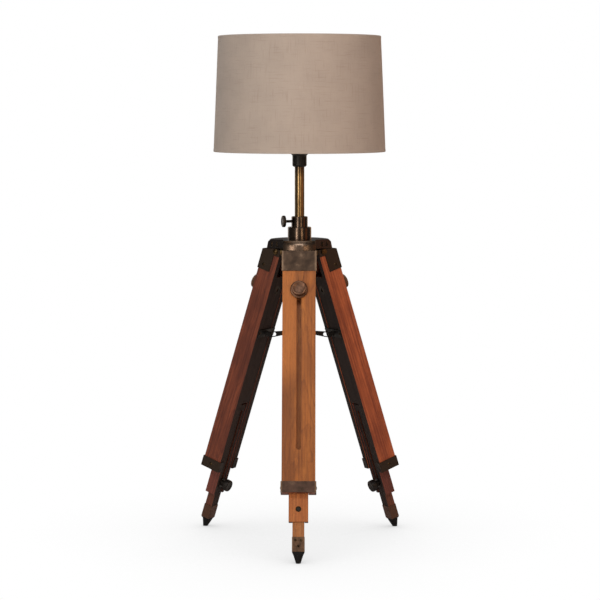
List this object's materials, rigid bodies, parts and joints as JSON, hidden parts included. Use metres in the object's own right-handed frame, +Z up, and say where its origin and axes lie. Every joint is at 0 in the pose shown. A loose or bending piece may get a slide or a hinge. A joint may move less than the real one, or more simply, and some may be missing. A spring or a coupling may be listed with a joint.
{
  "type": "tripod table lamp",
  "caption": "Table lamp with a round fabric shade on a sliding stem, carried by a folding wooden tripod with telescopic legs, clamp knobs and a spreader.",
  "frame": {"origin": "on the floor under the lamp's axis, at the middle of the circle that the feet stand on", "axes": "+Z up along the stem, -Y along the first leg, towards the front"},
  "size_m": [0.3102, 0.3046, 0.761],
  "materials": {
    "cast_bronze": "cast, antique bronze patina",
    "dark_brass": "turned, dark antique brass",
    "antique_brass": "drawn tube, antique brass",
    "dark_bronze": "pressed sheet, dark bronze patina",
    "black_iron": "blackened steel",
    "black_plastic": "moulded, satin",
    "ceramic": "glazed porcelain",
    "cap_metal": "pressed, bright",
    "bulb_glass": "frosted inside",
    "white_wire": "powder coated",
    "linen": "woven linen on a stiff liner",
    "leg_wood": "oiled hardwood",
    "black_rubber": "moulded"
  },
  "bodies": {
    "head": {"head_casting": "cast_bronze", "stem_socket": "dark_brass", "socket_locknut": "dark_brass"},
    "thumb": {"thumbscrew": "dark_brass"},
    "stem": {"stem_tube": "antique_brass", "cord_bush": "black_plastic", "holder_cap": "black_plastic", "holder_insert": "ceramic", "holder_shell": "black_plastic", "shade_ring_nut": "black_plastic", "bulb_cap": "cap_metal", "bulb_glass": "bulb_glass"},
    "shade": {"shade_frame": "white_wire", "shade_fabric": "linen"},
    "hub": {"spreader_hub": "black_iron"},
    "outer_leg_a": {"leg_a_channel": "leg_wood", "leg_a_cap": "dark_bronze", "leg_a_ferrule": "dark_bronze", "leg_a_bracket": "black_iron", "leg_a_screws": "dark_brass", "leg_a_hinge_bolt": "dark_brass"},
    "slider_a": {"leg_a_slider": "leg_wood", "leg_a_inserts": "dark_brass"},
    "knob_a": {"leg_a_knob": "dark_bronze"},
    "foot_knob_a": {"leg_a_foot_knob": "black_iron"},
    "foot_a": {"leg_a_foot_stick": "leg_wood", "leg_a_foot_ferrule": "dark_bronze", "leg_a_foot_screws": "dark_brass", "leg_a_foot_tip": "black_rubber"},
    "arm_a": {"leg_a_arm": "black_iron"},
    "outer_leg_b": {"leg_b_channel": "leg_wood", "leg_b_cap": "dark_bronze", "leg_b_ferrule": "dark_bronze", "leg_b_bracket": "black_iron", "leg_b_screws": "dark_brass", "leg_b_hinge_bolt": "dark_brass"},
    "slider_b": {"leg_b_slider": "leg_wood", "leg_b_inserts": "dark_brass"},
    "knob_b": {"leg_b_knob": "dark_bronze"},
    "foot_knob_b": {"leg_b_foot_knob": "black_iron"},
    "foot_b": {"leg_b_foot_stick": "leg_wood", "leg_b_foot_ferrule": "dark_bronze", "leg_b_foot_screws": "dark_brass", "leg_b_foot_tip": "black_rubber"},
    "arm_b": {"leg_b_arm": "black_iron"},
    "outer_leg_c": {"leg_c_channel": "leg_wood", "leg_c_cap": "dark_bronze", "leg_c_ferrule": "dark_bronze", "leg_c_bracket": "black_iron", "leg_c_screws": "dark_brass", "leg_c_hinge_bolt": "dark_brass"},
    "slider_c": {"leg_c_slider": "leg_wood", "leg_c_inserts": "dark_brass"},
    "knob_c": {"leg_c_knob": "dark_bronze"},
    "foot_knob_c": {"leg_c_foot_knob": "black_iron"},
    "foot_c": {"leg_c_foot_stick": "leg_wood", "leg_c_foot_ferrule": "dark_bronze", "leg_c_foot_screws": "dark_brass", "leg_c_foot_tip": "black_rubber"},
    "arm_c": {"leg_c_arm": "black_iron"}
  },
  "joints": [
    {"name": "leg_a_fold", "type": "hinge", "parent": "head", "child": "outer_leg_a", "pos_m": [0, -0.027, 0.4385], "axis": [1, 0, 0], "range_deg": [0, 18.3]},
    {"name": "leg_b_fold", "type": "hinge", "parent": "head", "child": "outer_leg_b", "pos_m": [-0.02338, 0.0135, 0.4385], "axis": [-0.5, -0.866, 0], "range_deg": [0, 18.3]},
    {"name": "leg_c_fold", "type": "hinge", "parent": "head", "child": "outer_leg_c", "pos_m": [0.02338, 0.0135, 0.4385], "axis": [-0.5, 0.866, 0], "range_deg": [0, 18.3]},
    {"name": "leg_a_extend", "type": "slide", "parent": "outer_leg_a", "child": "slider_a", "axis": [0, -0.314, -0.9494], "range_m": [0, 0.235]},
    {"name": "foot_a_extend", "type": "slide", "parent": "slider_a", "child": "foot_a", "axis": [0, -0.314, -0.9494], "range_m": [0, 0.12]},
    {"name": "knob_a_turn", "type": "hinge", "parent": "slider_a", "child": "knob_a", "pos_m": [0, -0.06717, 0.38711], "axis": [0, -0.9494, 0.314], "range_deg": [0, 360]},
    {"name": "foot_knob_a_turn", "type": "hinge", "parent": "slider_a", "child": "foot_knob_a", "pos_m": [0, -0.13254, 0.06842], "axis": [0, 0.9494, -0.314], "range_deg": [0, 360]},
    {"name": "leg_b_extend", "type": "slide", "parent": "outer_leg_b", "child": "slider_b", "axis": [-0.2719, 0.157, -0.9494], "range_m": [0, 0.235]},
    {"name": "foot_b_extend", "type": "slide", "parent": "slider_b", "child": "foot_b", "axis": [-0.2719, 0.157, -0.9494], "range_m": [0, 0.12]},
    {"name": "knob_b_turn", "type": "hinge", "parent": "slider_b", "child": "knob_b", "pos_m": [-0.05817, 0.03358, 0.38711], "axis": [-0.8222, 0.4747, 0.314], "range_deg": [0, 360]},
    {"name": "foot_knob_b_turn", "type": "hinge", "parent": "slider_b", "child": "foot_knob_b", "pos_m": [-0.11478, 0.06627, 0.06842], "axis": [0.8222, -0.4747, -0.314], "range_deg": [0, 360]},
    {"name": "leg_c_extend", "type": "slide", "parent": "outer_leg_c", "child": "slider_c", "axis": [0.2719, 0.157, -0.9494], "range_m": [0, 0.235]},
    {"name": "foot_c_extend", "type": "slide", "parent": "slider_c", "child": "foot_c", "axis": [0.2719, 0.157, -0.9494], "range_m": [0, 0.12]},
    {"name": "knob_c_turn", "type": "hinge", "parent": "slider_c", "child": "knob_c", "pos_m": [0.05817, 0.03358, 0.38711], "axis": [0.8222, 0.4747, 0.314], "range_deg": [0, 360]},
    {"name": "foot_knob_c_turn", "type": "hinge", "parent": "slider_c", "child": "foot_knob_c", "pos_m": [0.11478, 0.06627, 0.06842], "axis": [-0.8222, -0.4747, -0.314], "range_deg": [0, 360]},
    {"name": "hub_rise", "type": "slide", "parent": "head", "child": "hub", "axis": [0, 0, 1], "range_m": [0, 0.0347]},
    {"name": "arm_a_swing", "type": "hinge", "parent": "hub", "child": "arm_a", "pos_m": [0, -0.008, 0.31677], "axis": [1, 0, 0], "range_deg": [0, 79.2]},
    {"name": "arm_b_swing", "type": "hinge", "parent": "hub", "child": "arm_b", "pos_m": [-0.00693, 0.004, 0.31677], "axis": [-0.5, -0.866, 0], "range_deg": [0, 79.2]},
    {"name": "arm_c_swing", "type": "hinge", "parent": "hub", "child": "arm_c", "pos_m": [0.00693, 0.004, 0.31677], "axis": [-0.5, 0.866, 0], "range_deg": [0, 79.2]},
    {"name": "stem_height", "type": "slide", "parent": "head", "child": "stem", "axis": [0, 0, 1], "range_m": [-0.055, 0.03]},
    {"name": "thumb_turn", "type": "hinge", "parent": "head", "child": "thumb", "pos_m": [0, 0, 0.48424], "axis": [-0.9659, -0.2588, 0], "range_deg": [0, 360]},
    {"name": "shade_turn", "type": "hinge", "parent": "stem", "child": "shade", "pos_m": [0, 0, 0.6049], "axis": [0, 0, 1], "continuous": true}
  ],
  "couplings": [
    {"joint": "leg_b_fold", "follows": "leg_a_fold", "ratio": 1},
    {"joint": "leg_c_fold", "follows": "leg_a_fold", "ratio": 1},
    {"joint": "hub_rise", "follows": "leg_a_fold", "m_per_rad": 0.10802},
    {"joint": "arm_a_swing", "follows": "leg_a_fold", "ratio": 4.316},
    {"joint": "arm_b_swing", "follows": "leg_a_fold", "ratio": 4.316},
    {"joint": "arm_c_swing", "follows": "leg_a_fold", "ratio": 4.316}
  ]
}
